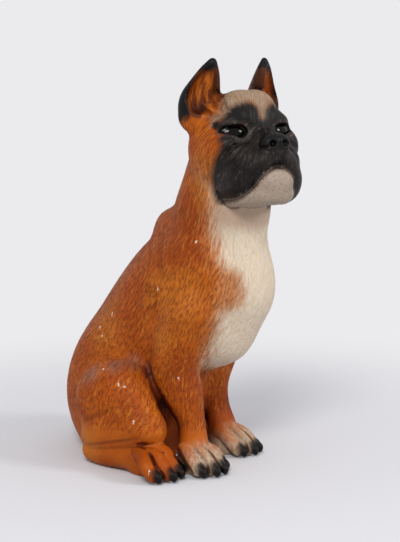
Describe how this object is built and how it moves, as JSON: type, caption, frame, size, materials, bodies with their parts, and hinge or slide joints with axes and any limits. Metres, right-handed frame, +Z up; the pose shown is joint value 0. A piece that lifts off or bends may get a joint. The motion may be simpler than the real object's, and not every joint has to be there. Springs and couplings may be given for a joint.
{
  "type": "dog figurine",
  "caption": "Seated boxer dog, head turned to its right, ears up, cast in one hollow piece and hand painted, standing on its paws and haunches.",
  "frame": {"origin": "On the surface the dog stands on, under the middle of its bounding box", "axes": "+Z up, -Y the way its chest and paws face, -X its right side"},
  "size_m": [0.1648, 0.2024, 0.2981],
  "materials": {
    "painted_cast": "satin"
  },
  "bodies": {
    "root": {"dog": "painted_cast"}
  },
  "joints": []
}
